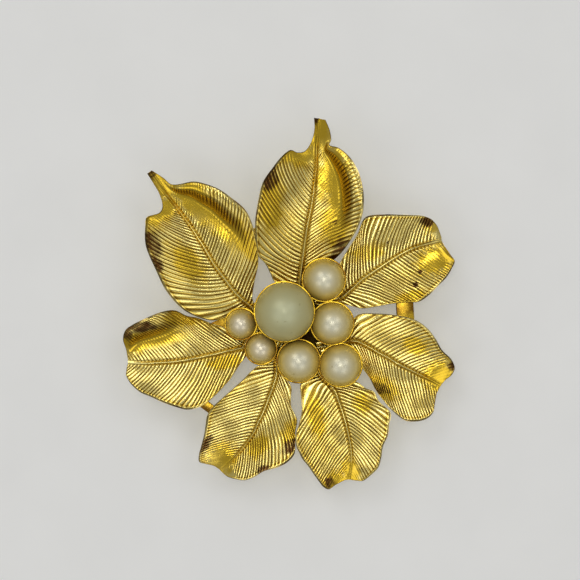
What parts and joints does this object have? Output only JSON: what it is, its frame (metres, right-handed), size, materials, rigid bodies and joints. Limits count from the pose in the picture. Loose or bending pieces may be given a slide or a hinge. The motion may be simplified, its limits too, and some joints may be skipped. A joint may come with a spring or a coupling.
{
  "type": "brooch",
  "caption": "Flower-like leaf brooch: engraved gold-tone leaves round a cluster of imitation pearls, with a hinged pin and a turning safety lock on the back.",
  "frame": {"origin": "under the middle of the outline, on the surface that the catch rests on when the brooch lies face up", "axes": "+X to the right as the leaves are seen from the front, +Y towards the top leaf, +Z out of the front through the pearls"},
  "size_m": [0.0565, 0.0632, 0.0174],
  "materials": {
    "gold_leaf": "polished gold plate with engraved veins",
    "gold_strut": "polished gold plate",
    "gold_cup": "polished gold plate",
    "gold_plate": "satin gold plate",
    "pearl_grey_cream": "satin pearl lacquer, greyish cream",
    "pearl_cream": "satin pearl lacquer, cream",
    "pearl_pink_cream": "satin pearl lacquer, pinkish cream",
    "gold_finding": "gold plate",
    "steel_pin": "plated steel wire"
  },
  "bodies": {
    "root": {"leaf_top_left": "gold_leaf", "leaf_top": "gold_leaf", "leaf_upper_right": "gold_leaf", "leaf_lower_right": "gold_leaf", "leaf_bottom": "gold_leaf", "leaf_lower_left": "gold_leaf", "leaf_left": "gold_leaf", "centre_plate": "gold_plate", "strut_right": "gold_strut", "strut_lower_left": "gold_strut", "solder_bridge_top": "gold_strut", "cup_centre": "gold_cup", "cup_upper_right": "gold_cup", "cup_right": "gold_cup", "cup_lower_right": "gold_cup", "cup_bottom": "gold_cup", "cup_lower_left": "gold_cup", "cup_left": "gold_cup", "pearl_centre": "pearl_grey_cream", "pearl_upper_right": "pearl_cream", "pearl_right": "pearl_cream", "pearl_lower_right": "pearl_cream", "pearl_bottom": "pearl_cream", "pearl_lower_left": "pearl_pink_cream", "pearl_left": "pearl_pink_cream", "pin_bar": "gold_finding", "hinge_cheeks": "gold_finding", "hinge_rivet": "gold_finding", "catch_rings": "gold_finding"},
    "pin_stem": {"pin_stem": "steel_pin"},
    "lock_barrel": {"lock_barrel": "gold_finding"}
  },
  "joints": [
    {"name": "pin_swing", "type": "hinge", "parent": "root", "child": "pin_stem", "pos_m": [-0.01356, -0.00522, 0.00178], "axis": [-0.4226, 0.9063, 0], "range_deg": [0, 75]},
    {"name": "lock_turn", "type": "hinge", "parent": "root", "child": "lock_barrel", "pos_m": [0.01272, 0.00703, 0.00178], "axis": [0.9063, 0.4226, 0], "range_deg": [-100, 0]}
  ]
}
